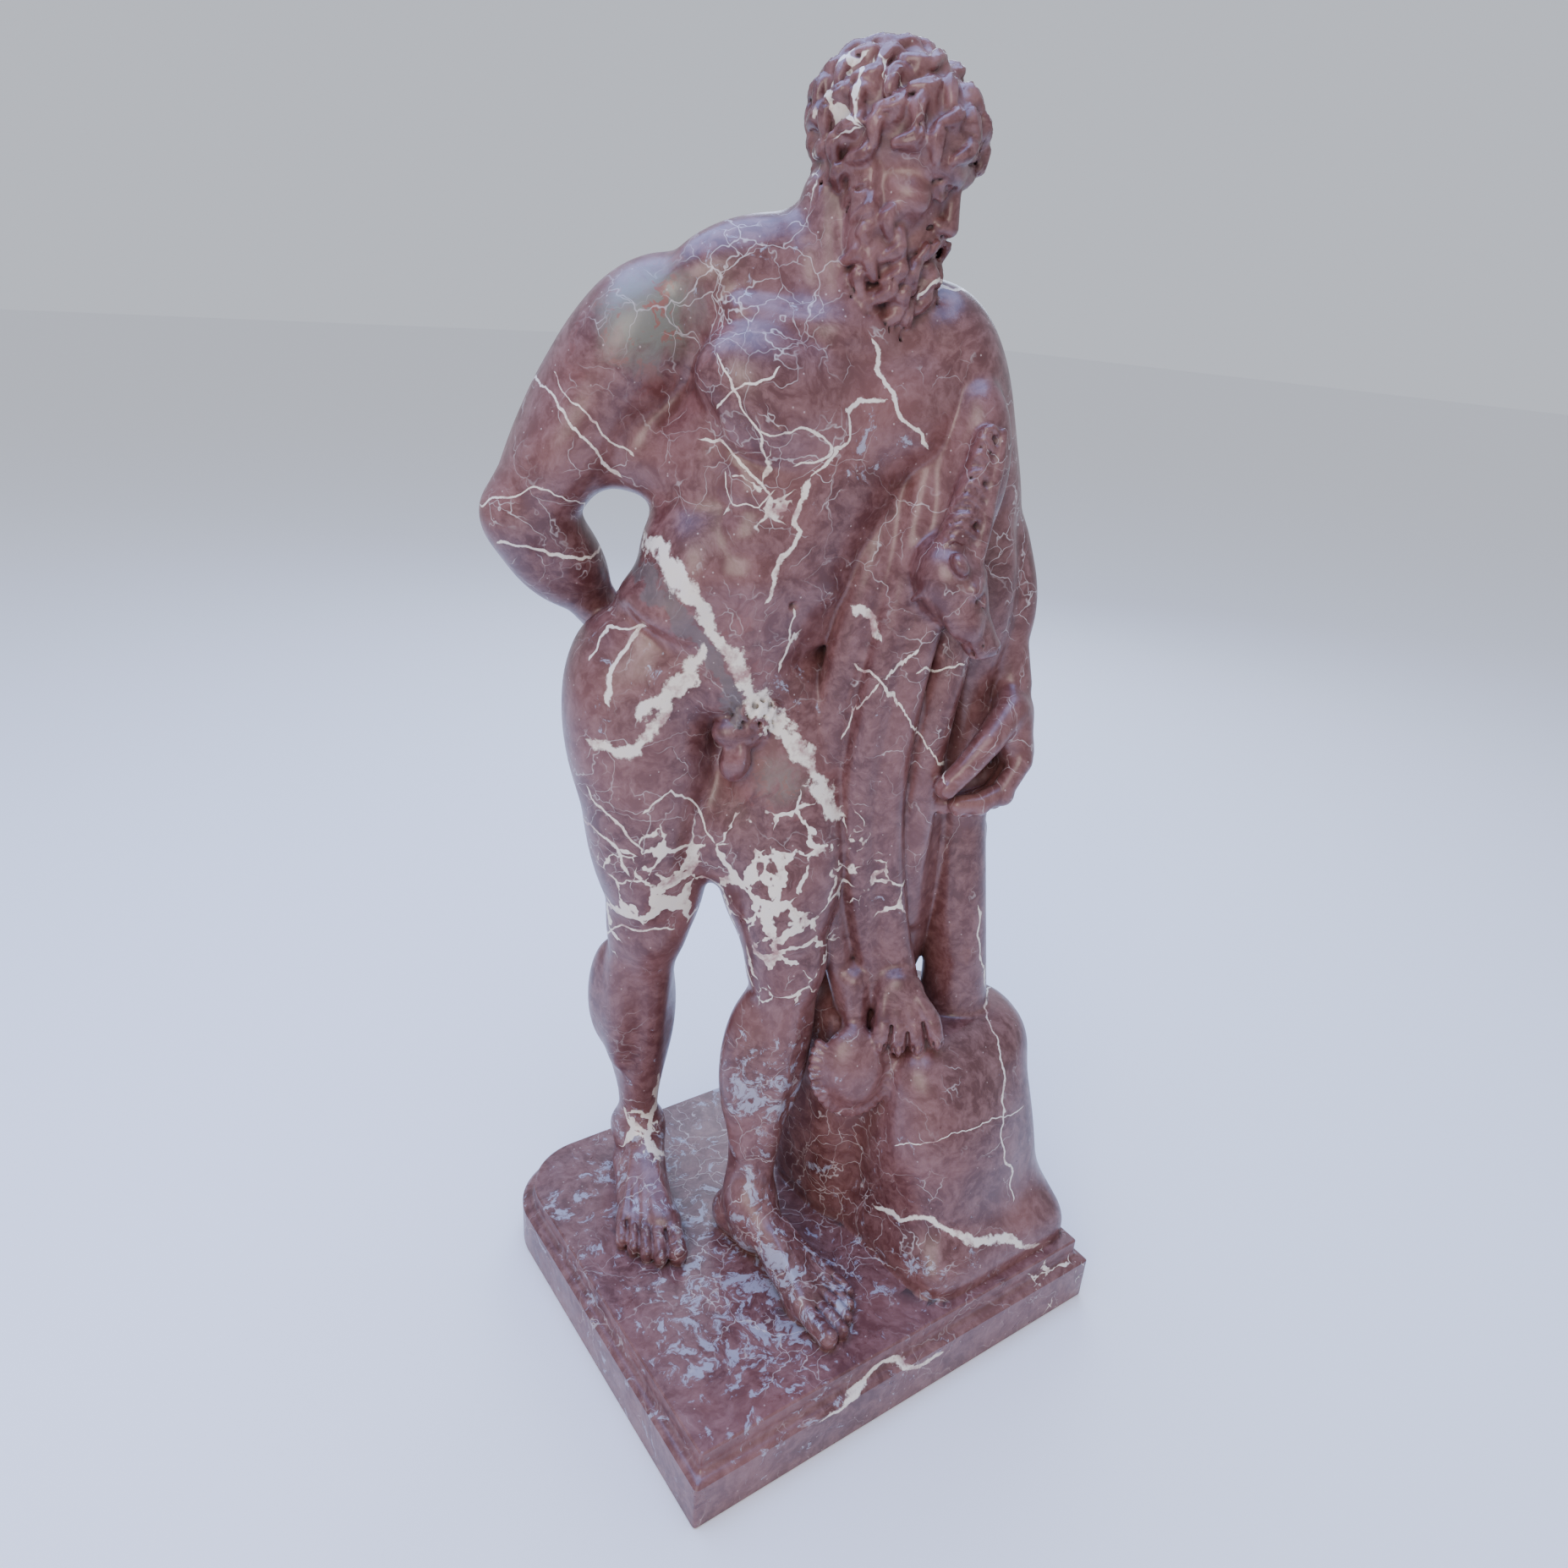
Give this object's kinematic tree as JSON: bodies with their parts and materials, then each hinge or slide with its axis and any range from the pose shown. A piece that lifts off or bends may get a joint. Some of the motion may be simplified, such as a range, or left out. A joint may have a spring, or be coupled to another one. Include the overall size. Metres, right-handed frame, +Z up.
{
  "type": "hercules statue",
  "caption": "Carved marble statue of a bearded hero resting on a club and lion skin over a rock, on a moulded rectangular plinth",
  "frame": {"origin": "middle of the plinth's flat underside", "axes": "+Z up; the plinth's front and the figure's toes face -Y; +X is the figure's left, the side of the club and the rock"},
  "size_m": [0.7633, 0.7007, 1.7865],
  "materials": {
    "marble": "polished"
  },
  "bodies": {
    "root": {"hercules_statue": "marble"}
  },
  "joints": []
}
